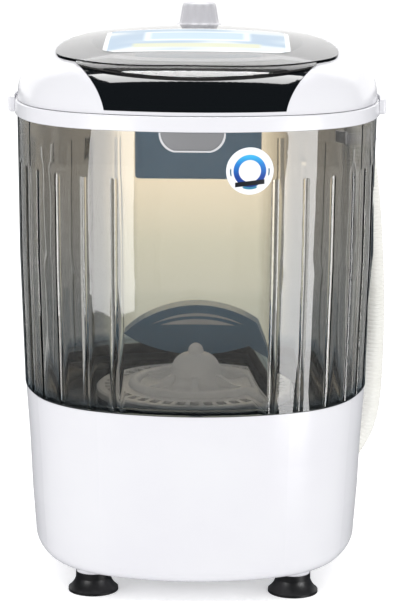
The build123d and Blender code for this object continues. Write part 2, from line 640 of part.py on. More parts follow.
with BuildPart() as lid_label:
    add(cover_form(LID_OUTER - LABEL_THICKNESS))
    add(cover_form(LID_OUTER, COVER_BOTTOM - 1), mode=Mode.SUBTRACT)
    with BuildSketch(Plane.XY.offset(500)):
        with BuildLine():
            label_left = [(-x, y) for x, y in reversed(LABEL_SIDE)]
            Polyline(*LABEL_SIDE)
            ThreePointArc(LABEL_SIDE[-1], LABEL_BOW[1], label_left[0])
            Polyline(*label_left)
            ThreePointArc(label_left[-1], LABEL_BOW[0], LABEL_SIDE[0])
        make_face()
    extrude(amount=100, mode=Mode.INTERSECT)
finish(lid_label, "lid_label")

# ---- timer --------------------------------------------------------------------------------------
TIMER_SHAFT_RADIUS = 3.0
CASE_SIZE = (50.0, 44.0)
CASE_HEIGHTS = (514.0, 540.3)
KNOB_BOTTOM = 548.6
KNOB_BODY = (20.6, 17.2)  # radius at its foot and at its top

with BuildPart() as timer_case:
    with Locations((0, KNOB_Y, CASE_HEIGHTS[0])):
        Box(*CASE_SIZE, CASE_HEIGHTS[1] - CASE_HEIGHTS[0], align=BOTTOM_UP)
    fillet(timer_case.edges().filter_by(Axis.Z), 6.0)
    with Locations(*[(x, y, CASE_HEIGHTS[1] - 1) for x, y in TIMER_SCREWS]):
        Cylinder(4.5, 3.0, align=BOTTOM_UP)
    with Locations((0, KNOB_Y, 519.0)):
        Cylinder(TIMER_SHAFT_RADIUS + FIT, 60, align=BOTTOM_UP, mode=Mode.SUBTRACT)
    with Locations(*[(x, y, 526.0) for x, y in TIMER_SCREWS]):
        Cylinder(1.7 + FIT, 40, align=BOTTOM_UP, mode=Mode.SUBTRACT)
finish(timer_case, "timer_case")

SHROUD_HALF = 67.0
SHROUD_Y = (88.0, 150.0)
SHROUD_HEIGHTS = (388.5, 560.0)
SHROUD_WALL = 2.0
SHROUD_CORNER = 8.0

with BuildPart() as timer_shroud:
    with Locations((0, sum(SHROUD_Y) / 2, SHROUD_HEIGHTS[0])):
        Box(2 * SHROUD_HALF, SHROUD_Y[1] - SHROUD_Y[0], SHROUD_HEIGHTS[1] - SHROUD_HEIGHTS[0],
            align=BOTTOM_UP)
    fillet(timer_shroud.edges().filter_by(Axis.Z), SHROUD_CORNER)
    fillet(timer_shroud.faces().sort_by(Axis.Z)[0].edges(), 3.0)
    offset(amount=-SHROUD_WALL, openings=timer_shroud.faces().sort_by(Axis.Z)[-1], kind=Kind.INTERSECTION)
    add(cover_form(COVER_WALL + 0.05, SHROUD_HEIGHTS[0] - 1), mode=Mode.INTERSECT)
finish(timer_shroud, "timer_shroud")

with BuildPart() as timer_screws:
    with Locations(*[(x, y, 544.8) for x, y in TIMER_SCREWS]):
        Cylinder(3.2, 1.4, align=BOTTOM_UP)
    with Locations(*[(x, y, 528.0) for x, y in TIMER_SCREWS]):
        Cylinder(1.7, 17.0, align=BOTTOM_UP)
finish(timer_screws, "timer_screws")

with BuildPart() as timer_shaft:
    with Locations((0, KNOB_Y, 520.0)):
        Cylinder(TIMER_SHAFT_RADIUS, 44, align=BOTTOM_UP)
finish(timer_shaft, "timer_shaft")

with BuildPart() as timer_knob:
    with BuildSketch(Plane.XZ):
        with BuildLine():
            Polyline((0, KNOB_BOTTOM), (KNOB_FLANGE_RADIUS, KNOB_BOTTOM),
                     (KNOB_FLANGE_RADIUS, KNOB_BOTTOM + 1.8), (KNOB_BODY[0], KNOB_BOTTOM + 3.2),
                     (KNOB_BODY[1], KNOB_TOP - 1.5),
                     (KNOB_BODY[1] - 1.5, KNOB_TOP), (0, KNOB_TOP), close=True)
        make_face()
    revolve(axis=Axis.Z)
    with Locations((0, 0, KNOB_BOTTOM)):
        Cylinder(TIMER_SHAFT_RADIUS + FIT, 16, align=BOTTOM_UP, mode=Mode.SUBTRACT)
timer_knob.part.position = (0, KNOB_Y, 0)
finish(timer_knob, "timer_knob")

# ---- water inlet, mains gland -------------------------------------------------------------------
with BuildPart() as water_inlet:
    with BuildSketch(inlet_seat.offset(0.1)):
        Circle(INLET_FLANGE)
    extrude(amount=2.6)
    with BuildSketch(inlet_seat.offset(-14)):
        Circle(INLET_RADIUS)
    extrude(amount=18)
    with BuildSketch(inlet_seat.offset(-15)):
        Circle(INLET_BORE)
    extrude(amount=30, mode=Mode.SUBTRACT)
finish(water_inlet, "water_inlet")

with BuildPart() as cord_gland:
    with BuildSketch(gland_plane.offset(-8)):
        Circle(GLAND_RADIUS)
    extrude(amount=16)
    with BuildSketch(gland_plane.offset(1.1)):
        Circle(11.0)
    extrude(amount=3)
    with BuildSketch(gland_plane.offset(-10)):
        Circle(3.2)
    extrude(amount=30, mode=Mode.SUBTRACT)
finish(cord_gland, "cord_gland")

# ---- drain --------------------------------------------------------------------------------------
SUMP_BOTTOM = 139.0
SUMP_TUBE_RADIUS = 9.0
TUBE_WALL = 2.0


def pipe(points, bends, outer, inner):
    """A round tube along straight runs joined by tangent arcs."""
    with BuildPart() as tube:
        with BuildLine() as route:
            FilletPolyline(*points, radius=bends)
        line = route.wire()
        section = Plane(origin=points[0], z_dir=points[1] - points[0])
        with BuildSketch(section):
            Circle(outer)
            Circle(inner, mode=Mode.SUBTRACT)
        sweep(path=line)
    return tube.part


with BuildPart() as drain_grille:
    with BuildSketch(Plane.XY.offset(TUB_FLOOR_TOP - 3)):
        with Locations((DRAIN_AXIS.X, DRAIN_AXIS.Y)):
            Circle(DRAIN_RADIUS - 0.1)
            with PolarLocations(9.5, 8):
                Circle(2.2, mode=Mode.SUBTRACT)
            Circle(2.2, mode=Mode.SUBTRACT)
    extrude(amount=3)
finish(drain_grille, "drain_grille")

with BuildPart() as drain_sump:
    with Locations((DRAIN_AXIS.X, DRAIN_AXIS.Y, 0)):
        with Locations((0, 0, 168.5)):
            Cylinder(23.0, 3.5, align=BOTTOM_UP)
        with Locations((0, 0, 152.0)):
            Cylinder(17.0, 17, align=BOTTOM_UP)
        with Locations((0, 0, SUMP_BOTTOM)):
            Cylinder(SUMP_TUBE_RADIUS, 14, align=BOTTOM_UP)
            Cylinder(SUMP_TUBE_RADIUS - TUBE_WALL, 14, align=BOTTOM_UP, mode=Mode.SUBTRACT)
        with Locations((0, 0, 154.0)):
            Cylinder(15.0, 20, align=BOTTOM_UP, mode=Mode.SUBTRACT)
finish(drain_sump, "drain_sump")

sump_points = [Vector(DRAIN_AXIS.X, DRAIN_AXIS.Y, SUMP_BOTTOM), DRAIN_AXIS, SPOUT_START]
with BuildPart() as sump_hose:
    add(pipe(sump_points, 24, SUMP_TUBE_RADIUS, SUMP_TUBE_RADIUS - TUBE_WALL))
finish(sump_hose, "sump_hose")

spout_points = [SPOUT_START, SPOUT_BEND, SPOUT_MOUTH]
with BuildPart() as drain_spout:
    add(pipe(spout_points, 20, SPOUT_TUBE_RADIUS, SPOUT_TUBE_RADIUS - TUBE_WALL))
    with BuildSketch(Plane(origin=SPOUT_MOUTH, z_dir=SPOUT_UP)):
        Circle(HOSE_RADIUS)
        Circle(SPOUT_TUBE_RADIUS - TUBE_WALL, mode=Mode.SUBTRACT)
    extrude(amount=-8)
finish(drain_spout, "drain_spout")

with BuildPart() as spout_grommet:
    with BuildSketch(spout_plane.offset(34)):
        Circle(GROMMET_RADIUS - 0.1)
        Circle(SPOUT_TUBE_RADIUS + 0.1, mode=Mode.SUBTRACT)
    extrude(amount=6)
finish(spout_grommet, "spout_grommet")

HOSE_FIRST = SPOUT_MOUTH + SPOUT_UP * 34
HOSE_ROUTE = [SPOUT_MOUTH, HOSE_FIRST, Vector(189.0, 140.5, 126.0), Vector(191.6, 137.9, 184.0),
              Vector(191.8, 134.4, 244.0), Vector(188.9, 130.2, 304.0), Vector(183.9, 125.6, 363.0),
              Vector(177.6, 121.6, 411.0), Vector(171.4, 118.6, 446.0)]
HOSE_BORE = 10.6


def bend_radii(points):
    """The largest arc that each corner's two runs allow."""
    radii = []
    for before, corner, after in zip(points, points[1:], points[2:]):
        runs = (corner - before, after - corner)
        half_turn = radians(runs[0].get_angle(runs[1])) / 2
        radii.append(0.45 * min(run.length for run in runs) / tan(half_turn))
    return radii


hose_radii = bend_radii(HOSE_ROUTE)
print("drain hose bend radii", [round(radius) for radius in hose_radii])
with BuildPart() as drain_hose:
    add(pipe(HOSE_ROUTE, hose_radii, HOSE_RADIUS, HOSE_BORE))
finish(drain_hose, "drain_hose")

hose_end = HOSE_ROUTE[-1]
hose_up = (hose_end - HOSE_ROUTE[-2]).normalized()
with BuildPart() as hose_nozzle:
    with BuildSketch(Plane(origin=hose_end, z_dir=hose_up)):
        Circle(HOSE_RADIUS + 0.7)
        Circle(HOSE_BORE, mode=Mode.SUBTRACT)
    extrude(amount=15)
finish(hose_nozzle, "hose_nozzle")

# ---- hose clip on the tub's wall ----------------------------------------------------------------
CLIP_Z = 432.0
CLIP_HEIGHT = 12.0
CLIP_BORE = HOSE_RADIUS + 0.5
CLIP_WALL = 2.6
clip_center = HOSE_ROUTE[-2] + hose_up * ((CLIP_Z - HOSE_ROUTE[-2].Z) / hose_up.Z)
wall_half = TUB_LEVELS[-1][1] - 0.4
corner_center = (SIDE_RADIUS - CORNER_RADIUS) * sin(
    acos((SIDE_RADIUS - BODY_HALF) / (sqrt(2) * (SIDE_RADIUS - CORNER_RADIUS))) - pi / 4)
clip_out = Vector(clip_center.X - corner_center, clip_center.Y - corner_center, 0)
clip_gap = clip_out.length - (CORNER_RADIUS + wall_half - BODY_HALF)
clip_out = clip_out.normalized()
clip_frame = Plane(origin=clip_center, x_dir=clip_out, z_dir=(0, 0, 1))

with BuildPart() as hose_clip:
    with BuildSketch(Plane(origin=clip_center - hose_up * CLIP_HEIGHT / 2, x_dir=clip_out, z_dir=hose_up)):
        Circle(CLIP_BORE + CLIP_WALL)
    extrude(amount=CLIP_HEIGHT)
    with BuildSketch(clip_frame.offset(-CLIP_HEIGHT / 2)):
        with Locations((-(CLIP_BORE + clip_gap) / 2, 0)):
            Rectangle(clip_gap - CLIP_BORE - 0.5, 8)
        with Locations((-clip_gap + 1.7, 0)):
            Rectangle(2.4, 22)
    extrude(amount=CLIP_HEIGHT)
    with BuildSketch(Plane(origin=clip_center - hose_up * CLIP_HEIGHT, x_dir=clip_out, z_dir=hose_up)):
        Circle(CLIP_BORE)
        with Locations((CLIP_BORE, 0)):
            Rectangle(16, 2 * CLIP_BORE * 0.72)
    extrude(amount=2 * CLIP_HEIGHT, mode=Mode.SUBTRACT)
finish(hose_clip, "hose_clip")

# ---- drive --------------------------------------------------------------------------------------
HOUSING_TOP = 177.0
HOUSING_BOTTOM = 84.0
BUSH_RADIUS = 11.0
BUSH_LENGTH = 14.0
UPPER_BUSH_Z = 150.0
LOWER_BUSH_Z = 86.0
SHAFT_BOTTOM = 49.0
SHAFT_TOP = 200.0
RUNNING = 0.04

with BuildPart() as bearing_housing:
    with Locations((0, 0, HOUSING_BOTTOM)):
        Cylinder(17.0, 84, align=BOTTOM_UP)
    with Locations((0, 0, 166.0)):
        Cylinder(37.0, TUB_FLOOR_TOP - TUB_FLOOR - 166.0, align=BOTTOM_UP)
        Cylinder(HUB_BORE - 0.1, HOUSING_TOP - 166.0, align=BOTTOM_UP)
        with PolarLocations(HOUSING_SCREW_RADIUS, HOUSING_SCREWS, start_angle=45):
            Cylinder(2.0 + FIT, 20, mode=Mode.SUBTRACT)
    with Locations((0, 0, HOUSING_BOTTOM)):
        Cylinder(8.0, 100, align=BOTTOM_UP, mode=Mode.SUBTRACT)
    with Locations((0, 0, LOWER_BUSH_Z)):
        Cylinder(BUSH_RADIUS + FIT, 40, align=(Align.CENTER, Align.CENTER, Align.MAX), mode=Mode.SUBTRACT)
        Cylinder(BUSH_RADIUS + FIT, BUSH_LENGTH, align=BOTTOM_UP, mode=Mode.SUBTRACT)
    with Locations((0, 0, UPPER_BUSH_Z)):
        Cylinder(BUSH_RADIUS + FIT, 40, align=BOTTOM_UP, mode=Mode.SUBTRACT)
finish(bearing_housing, "bearing_housing")

for bush_name, bush_z, bush_length in (("upper_bush", UPPER_BUSH_Z, BUSH_LENGTH),
                                       ("lower_bush", LOWER_BUSH_Z, BUSH_LENGTH),
                                       ("shaft_seal", 166.0, 10.0)):
    with BuildPart() as bush:
        with Locations((0, 0, bush_z)):
            Cylinder(BUSH_RADIUS, bush_length, align=BOTTOM_UP)
            Cylinder(SHAFT_RADIUS + RUNNING, bush_length, align=BOTTOM_UP, mode=Mode.SUBTRACT)
    finish(bush, bush_name)

with BuildPart() as housing_screws:
    with Locations((0, 0, TUB_FLOOR_TOP)):
        with PolarLocations(HOUSING_SCREW_RADIUS, HOUSING_SCREWS, start_angle=45):
            Cylinder(4.0, 2.0, align=BOTTOM_UP)
            Cylinder(2.0, 10.0, align=(Align.CENTER, Align.CENTER, Align.MAX))
finish(housing_screws, "housing_screws")

with BuildPart() as pulsator_shaft:
    with Locations((0, 0, SHAFT_BOTTOM)):
        Cylinder(SHAFT_RADIUS, SHAFT_TOP - SHAFT_BOTTOM, align=BOTTOM_UP)
    with Locations((0, 0, SHAFT_TOP)):
        Cylinder(2.5 + FIT, 28, mode=Mode.SUBTRACT)
finish(pulsator_shaft, "pulsator_shaft")


def pulley(outer, inner, hub, bore):
    """A grooved pulley centred on the belt's height."""
    with BuildPart() as wheel:
        with BuildSketch(Plane.XZ):
            with BuildLine():
                Polyline((0, BELT_Z - 6), (outer, BELT_Z - 6), (outer, BELT_Z - 5.2), (inner, BELT_Z - 3.1),
                         (inner, BELT_Z + 3.1), (outer, BELT_Z + 5.2), (outer, BELT_Z + 6), (hub, BELT_Z + 6),
                         (hub, BELT_Z + 10), (0, BELT_Z + 10), close=True)
            make_face()
        revolve(axis=Axis.Z)
        with Locations((0, 0, BELT_Z)):
            Cylinder(bore, 60, mode=Mode.SUBTRACT)
    return wheel.part


with BuildPart() as driven_pulley:
    add(pulley(55.0, 48.0, 14.0, SHAFT_RADIUS + FIT))
    with Locations((0, 0, BELT_Z)):
        with PolarLocations(30, 5):
            Cylinder(9.0, 20, mode=Mode.SUBTRACT)
finish(driven_pulley, "driven_pulley")

with BuildPart() as pulley_nut:
    with BuildSketch(Plane.XY.offset(BELT_Z - 12.0)):
        RegularPolygon(9.0, 6)
        Circle(SHAFT_RADIUS + FIT, mode=Mode.SUBTRACT)
    extrude(amount=5.8)
finish(pulley_nut, "pulley_nut")

# ---- pulsator -----------------------------------------------------------------------------------
PULSATOR_BOTTOM = 179.6
PULSATOR_RADIUS = 102.0
VANES = 6
DRAIN_SLOTS = 40
DRAIN_SLOT_SIZE = (9.0, 12.0)  # round the ring and across it
DRAIN_SLOT_REACH = 87.0
CAP_RADIUS = 8.0
CAP_SEAT = 221.0
CAP_TOP = 230.6

with BuildPart() as pulsator:
    with BuildSketch(Plane.XZ):
        with BuildLine():
            Polyline((0, PULSATOR_BOTTOM), (16, PULSATOR_BOTTOM), (16, 184), (96, 184), (98, PULSATOR_BOTTOM),
                     (PULSATOR_RADIUS, PULSATOR_BOTTOM), (PULSATOR_RADIUS, 185.5), (100, 187.2), (70, 187.6))
            ring = ThreePointArc((70, 187.6), (63.5, 194.0), (57, 189.2))
            foot = Line(ring @ 1, (32, 188.6))
            hub = ThreePointArc(foot @ 1, (27.6, 192.5), (26, 199))
            side = Line(hub @ 1, (24.6, 207.5))
            dome = ThreePointArc(side @ 1, (18.6, 216.4), (CAP_RADIUS, CAP_SEAT))
            Polyline(dome @ 1, (0, CAP_SEAT), (0, PULSATOR_BOTTOM))
        make_face()
    revolve(axis=Axis.Z)
    for step in range(VANES):
        turn = 2 * pi * (step + 0.5) / VANES
        radial = Plane(origin=(0, 0, 0), x_dir=(cos(turn), sin(turn), 0), z_dir=(sin(turn), -cos(turn), 0))
        with BuildSketch(radial):
            Polygon((20, 185), (63, 185), (63, 191), (44, 193.5), (28, 200), (20, 200), align=None)
        extrude(amount=3.0, both=True)
    with Locations((0, 0, 186.0)):
        with PolarLocations(DRAIN_SLOT_REACH, DRAIN_SLOTS):
            Box(DRAIN_SLOT_SIZE[1], DRAIN_SLOT_SIZE[0], 10, mode=Mode.SUBTRACT)
    with Locations((0, 0, PULSATOR_BOTTOM)):
        Cylinder(SHAFT_RADIUS + FIT, SHAFT_TOP - PULSATOR_BOTTOM + 0.2, align=BOTTOM_UP, mode=Mode.SUBTRACT)
    with Locations((0, 0, 204.0)):
        Cylinder(CAP_RADIUS, 30, align=BOTTOM_UP, mode=Mode.SUBTRACT)
        Cylinder(2.7, 20, mode=Mode.SUBTRACT)
finish(pulsator, "pulsator")

with BuildPart() as pulsator_screw:
    with Locations((0, 0, 204.0)):
        Cylinder(5.0, 3.5, align=BOTTOM_UP)
        Cylinder(2.5, 15, align=(Align.CENTER, Align.CENTER, Align.MAX))
finish(pulsator_screw, "pulsator_screw")

with BuildPart() as pulsator_cap:
    with BuildSketch(Plane.XZ):
        with BuildLine():
            plug = Polyline((0, 209), (CAP_RADIUS - FIT, 209), (CAP_RADIUS - FIT, CAP_SEAT + 1.0))
            ball = ThreePointArc(plug @ 1, (6.3, 227.4), (1.5, CAP_TOP))
            Polyline(ball @ 1, (0, CAP_TOP), plug @ 0)
        make_face()
    revolve(axis=Axis.Z)
finish(pulsator_cap, "pulsator_cap")

# ---- motor --------------------------------------------------------------------------------------
MOTOR_SHAFT_RADIUS = 5.0
FRAME_BOTTOM = 79.0
FRAME_TOP = 138.0

with BuildPart() as motor_bushes:
    with Locations(*[(x, y, POST_TOP) for x, y in MOTOR_POSTS]):
        Cylinder(POST_RADIUS, 6.0, align=BOTTOM_UP)
        Cylinder(2.1, 6.0, align=BOTTOM_UP, mode=Mode.SUBTRACT)
finish(motor_bushes, "motor_bushes")

with BuildPart() as motor_bracket:
    with BuildSketch(Plane.XY.offset(POST_TOP + 6.0)):
        with Locations((0, MOTOR_Y)):
            SlotCenterToCenter(132, 22)
            Circle(45)
            Circle(15, mode=Mode.SUBTRACT)
        with Locations(*MOTOR_POSTS):
            Circle(2.2, mode=Mode.SUBTRACT)
    extrude(amount=3.0)
finish(motor_bracket, "motor_bracket")

with BuildPart() as bracket_screws:
    with Locations(*[(x, y, POST_TOP + 9.0) for x, y in MOTOR_POSTS]):
        Cylinder(4.2, 2.6, align=BOTTOM_UP)
        Cylinder(2.0, 26, align=(Align.CENTER, Align.CENTER, Align.MAX))
finish(bracket_screws, "bracket_screws")

with BuildPart() as motor_frame:
    with Locations((0, MOTOR_Y, FRAME_BOTTOM)):
        Cylinder(43.0, FRAME_TOP - FRAME_BOTTOM, align=BOTTOM_UP)
        Cylinder(MOTOR_SHAFT_RADIUS + RUNNING, 10, mode=Mode.SUBTRACT)
    with Locations((0, MOTOR_Y, FRAME_BOTTOM + 4)):
        Cylinder(40.5, FRAME_TOP - FRAME_BOTTOM, align=BOTTOM_UP, mode=Mode.SUBTRACT)
finish(motor_frame, "motor_frame")

with BuildPart() as motor_stator:
    with Locations((0, MOTOR_Y, 90.0)):
        Cylinder(40.4, 40, align=BOTTOM_UP)
        Cylinder(26.0, 40, align=BOTTOM_UP, mode=Mode.SUBTRACT)
finish(motor_stator, "motor_stator")

with BuildPart() as motor_end_cap:
    with Locations((0, MOTOR_Y, FRAME_TOP)):
        Cylinder(43.0, 4, align=BOTTOM_UP)
        Cylinder(12.0, 8, align=BOTTOM_UP)
        Cylinder(MOTOR_SHAFT_RADIUS + RUNNING, 6, align=BOTTOM_UP, mode=Mode.SUBTRACT)
finish(motor_end_cap, "motor_end_cap")

with BuildPart() as motor_rotor:
    with Locations((0, MOTOR_Y, 92.0)):
        Cylinder(25.4, 36, align=BOTTOM_UP)
    with Locations((0, MOTOR_Y, 54.0)):
        Cylinder(MOTOR_SHAFT_RADIUS, 88.5, align=BOTTOM_UP)
finish(motor_rotor, "motor_rotor")

with BuildPart() as motor_pulley:
    add(pulley(14.0, 7.6, 9.0, MOTOR_SHAFT_RADIUS + FIT))
motor_pulley.part.position = (0, MOTOR_Y, 0)
finish(motor_pulley, "motor_pulley")


def belt_loop(driven, motor):
    """The area inside a belt around both pulleys."""
    with BuildSketch(Plane.XY.offset(BELT_Z - 2.5)) as loop:
        Circle(driven)
        with Locations((0, MOTOR_Y)):
            Circle(motor)
        make_hull()
    return loop.sketch


with BuildPart() as drive_belt:
    extrude(belt_loop(DRIVEN_PITCH_RADIUS + 2.5, MOTOR_PITCH_RADIUS + 2.5), amount=5)
    extrude(belt_loop(DRIVEN_PITCH_RADIUS - 2.5, MOTOR_PITCH_RADIUS - 2.5), amount=5, mode=Mode.SUBTRACT)
finish(drive_belt, "drive_belt")

CAPACITOR_AT = (-122.0, 0.0)
with BuildPart() as run_capacitor:
    with Locations((*CAPACITOR_AT, BASE_BOTTOM + BASE_FLOOR + 0.1)):
        Cylinder(16.0, 58, align=BOTTOM_UP)
    fillet(run_capacitor.edges().group_by(Axis.Z)[-1], 2.0)
finish(run_capacitor, "run_capacitor")

with BuildPart() as capacitor_clamp:
    with Locations((*CAPACITOR_AT, 54.0)):
        Cylinder(17.6, 10, align=BOTTOM_UP)
    with Locations((CAPACITOR_AT[0] + 18.0, 0, BASE_BOTTOM + BASE_FLOOR + 0.1)):
        Box(3.0, 10, 34, align=BOTTOM_UP)
    with Locations((*CAPACITOR_AT, 20.0)):
        Cylinder(16.1, 80, align=BOTTOM_UP, mode=Mode.SUBTRACT)
finish(capacitor_clamp, "capacitor_clamp")
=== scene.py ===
"""Looks of the portable mini washer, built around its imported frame. Metres, +Z up, front towards -Y."""

import math

import bmesh
import bpy
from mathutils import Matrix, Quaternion, Vector


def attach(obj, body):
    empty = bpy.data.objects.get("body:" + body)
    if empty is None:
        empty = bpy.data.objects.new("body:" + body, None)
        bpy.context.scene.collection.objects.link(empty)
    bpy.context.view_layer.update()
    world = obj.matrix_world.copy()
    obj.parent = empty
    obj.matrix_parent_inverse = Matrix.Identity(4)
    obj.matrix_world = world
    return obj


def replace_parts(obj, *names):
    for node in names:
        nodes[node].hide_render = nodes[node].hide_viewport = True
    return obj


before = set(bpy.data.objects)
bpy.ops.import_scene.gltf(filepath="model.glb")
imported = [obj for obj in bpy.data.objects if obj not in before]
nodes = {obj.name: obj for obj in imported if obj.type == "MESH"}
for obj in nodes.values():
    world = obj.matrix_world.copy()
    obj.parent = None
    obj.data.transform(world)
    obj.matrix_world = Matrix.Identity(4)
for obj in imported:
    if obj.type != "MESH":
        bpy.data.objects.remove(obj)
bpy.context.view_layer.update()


# ---- materials ------------------------------------------------------------------------------------
LEAST_ROUGHNESS = 0.02
CLOUD_RANGE = (0.35, 0.7)  # the part of the noise over which mottled colours change


def new_material(name, color, roughness, metallic=0.0, **sockets):
    """A Principled material with its plain numbers set on the shader's own sockets."""
    material = bpy.data.materials.new(name)
    material.use_nodes = True
    shader = material.node_tree.nodes["Principled BSDF"]
    shader.inputs["Base Color"].default_value = (*color, 1)
    shader.inputs["Roughness"].default_value = roughness
    shader.inputs["Metallic"].default_value = metallic
    for socket, value in sockets.items():
        shader.inputs[socket.replace("_", " ")].default_value = value
    return material


def shader_of(material):
    return material.node_tree.nodes["Principled BSDF"]


def add_node(material, kind, **settings):
    node = material.node_tree.nodes.new(kind)
    for name, value in settings.items():
        if name in node.inputs:
            node.inputs[name].default_value = value
        else:
            setattr(node, name, value)
    return node


def link(material, source, target):
    material.node_tree.links.new(source, target)


def coordinates(material, stretch=(1, 1, 1)):
    """Object coordinates in metres, stretched along each axis."""
    place = add_node(material, "ShaderNodeTexCoord")
    mapping = add_node(material, "ShaderNodeMapping")
    mapping.inputs["Scale"].default_value = stretch
    link(material, place.outputs["Object"], mapping.inputs["Vector"])
    return mapping.outputs["Vector"]


def object_axes(material):
    """The object's own X, Y and Z in metres, as sockets by name."""
    place = add_node(material, "ShaderNodeTexCoord")
    parts = add_node(material, "ShaderNodeSeparateXYZ")
    link(material, place.outputs["Object"], parts.inputs["Vector"])
    return parts.outputs


def math_node(material, operation, first, second=0.0):
    """One arithmetic step; each input is a socket or a number."""
    node = add_node(material, "ShaderNodeMath", operation=operation)
    for slot, value in enumerate((first, second)):
        if isinstance(value, (int, float)):
            node.inputs[slot].default_value = value
        else:
            link(material, value, node.inputs[slot])
    return node.outputs["Value"]


def slope(material, source, low, high, start=0.0, end=1.0, shape="SMOOTHSTEP"):
    """Goes from start, where the source is low, to end, where it is high."""
    node = add_node(material, "ShaderNodeMapRange", interpolation_type=shape,
                    **{"From Min": low, "From Max": high, "To Min": start, "To Max": end})
    link(material, source, node.inputs["Value"])
    return node.outputs["Result"]


def band(material, source, low, high, soft):
    """1 between low and high and 0 outside, with soft edges."""
    return math_node(material, "MULTIPLY", slope(material, source, low - soft, low + soft),
                     slope(material, source, high - soft, high + soft, 1.0, 0.0))


def blend(material, factor, first, second):
    """Mixes two colours by a factor; each is a socket or three numbers."""
    mix = add_node(material, "ShaderNodeMix", data_type="RGBA")
    link(material, factor, mix.inputs[0])
    for slot, value in ((6, first), (7, second)):
        if isinstance(value, tuple):
            mix.inputs[slot].default_value = (*value, 1)
        else:
            link(material, value, mix.inputs[slot])
    return mix.outputs[2]


def ramp(material, factor, stops):
    """A colour ramp; each stop is (place, colour)."""
    node = add_node(material, "ShaderNodeValToRGB")
    elements = node.color_ramp.elements
    while len(elements) > 1:
        elements.remove(elements[-1])
    elements[0].position, elements[0].color = stops[0][0], (*stops[0][1], 1)
    for place, color in stops[1:]:
        elements.new(place).color = (*color, 1)
    link(material, factor, node.inputs["Fac"])
    return node.outputs["Color"]


def add_grain(material, size, depth, stretch=(1, 1, 1), spread=0.06):
    """A moulded, cast or brushed surface: bump of the given depth, and gloss that varies with it."""
    shader = shader_of(material)
    noise = add_node(material, "ShaderNodeTexNoise", Scale=1 / size, Detail=2.0, Roughness=0.55)
    link(material, coordinates(material, stretch), noise.inputs["Vector"])
    bump = add_node(material, "ShaderNodeBump", Strength=0.5, Distance=depth)
    link(material, noise.outputs["Fac"], bump.inputs["Height"])
    link(material, bump.outputs["Normal"], shader.inputs["Normal"])
    middle = shader.inputs["Roughness"].default_value
    gloss = slope(material, noise.outputs["Fac"], 0.0, 1.0, max(middle - spread, LEAST_ROUGHNESS),
                  middle + spread, "LINEAR")
    link(material, gloss, shader.inputs["Roughness"])
    return material


def add_mottle(material, size, other, share=1.0):
    """Cloudy variation between the base colour and another one."""
    shader = shader_of(material)
    noise = add_node(material, "ShaderNodeTexNoise", Scale=1 / size, Detail=3.0)
    link(material, coordinates(material), noise.inputs["Vector"])
    strength = slope(material, noise.outputs["Fac"], *CLOUD_RANGE, 0.0, share, "LINEAR")
    own = tuple(shader.inputs["Base Color"].default_value)[:3]
    link(material, blend(material, strength, own, other), shader.inputs["Base Color"])


white = add_grain(new_material("white_plastic", (0.73, 0.727, 0.765), 0.24), 0.0016, 0.00002)
add_mottle(white, 0.09, (0.75, 0.75, 0.78))
grey = add_grain(new_material("grey_plastic", (0.42, 0.43, 0.45), 0.5), 0.0008, 0.00006)
add_mottle(grey, 0.03, (0.46, 0.47, 0.48))
knob_white = add_grain(new_material("knob_plastic", (0.64, 0.635, 0.67), 0.3), 0.0012, 0.00002)
add_mottle(knob_white, 0.02, (0.67, 0.665, 0.7))
rubber = add_grain(new_material("black_rubber", (0.006, 0.006, 0.007), 0.4), 0.0007, 0.00008)
add_mottle(rubber, 0.012, (0.014, 0.013, 0.014))
fascia = add_grain(new_material("black_gloss", (0.004, 0.005, 0.006), 0.06), 0.004, 0.00002, spread=0.02)
chrome = add_grain(new_material("chrome", (0.85, 0.85, 0.87), 0.15, 0.3), 0.002, 0.00001, spread=0.04)
brushed = add_grain(
    new_material("brushed_plate", (0.31, 0.31, 0.32), 0.34, 0.3), 0.0006, 0.00003, stretch=(0.04, 1, 1),
    spread=0.12)
zinc = add_grain(new_material("zinc_steel", (0.55, 0.55, 0.54), 0.36, 1.0), 0.0015, 0.00004, spread=0.1)
add_mottle(zinc, 0.004, (0.62, 0.61, 0.55), 0.6)
ground = add_grain(
    new_material("shaft_steel", (0.5, 0.5, 0.52), 0.25, 1.0), 0.0005, 0.00002, stretch=(1, 1, 12),
    spread=0.08)
bronze = add_grain(new_material("bronze", (0.5, 0.33, 0.14), 0.42, 1.0), 0.0004, 0.00005, spread=0.08)
motor_paint = add_grain(new_material("motor_paint", (0.05, 0.05, 0.055), 0.45), 0.0012, 0.00008)
iron = add_grain(
    new_material("laminated_iron", (0.22, 0.22, 0.24), 0.4, 0.9), 0.0006, 0.0002,
    stretch=(0.01, 0.01, 1))
alloy = add_grain(new_material("alloy", (0.62, 0.63, 0.65), 0.38, 1.0), 0.001, 0.00006, spread=0.1)
capacitor = add_grain(new_material("capacitor_case", (0.76, 0.75, 0.7), 0.4), 0.001, 0.00003)
impeller = add_grain(new_material("pulsator_plastic", (0.86, 0.865, 0.87), 0.28), 0.0016, 0.00003)
add_mottle(impeller, 0.03, (0.9, 0.9, 0.9))
hose_plastic = add_grain(new_material("hose_plastic", (0.85, 0.845, 0.8), 0.42), 0.0008, 0.00003)
add_mottle(hose_plastic, 0.02, (0.82, 0.81, 0.755), 0.7)
# Smoked blue plastic of the lint trap; on the timer shroud the same dark blue is painted shade.
smoke_and_shroud_shade = add_grain(new_material("smoked_trap", (0.15, 0.28, 0.42), 0.2), 0.002, 0.00003)
add_mottle(smoke_and_shroud_shade, 0.02, (0.17, 0.31, 0.46), 0.8)


def add_absorption(material, color, density):
    """Darkens light by the length of wall that it passes through."""
    volume = add_node(material, "ShaderNodeVolumeAbsorption", Color=(*color, 1), Density=density)
    output = material.node_tree.nodes["Material Output"]
    link(material, volume.outputs["Volume"], output.inputs["Volume"])


WINDOW_HALF = 0.066
TUB_FOOT = (0.2, 0.212)  # heights between which the tint of its foot ends


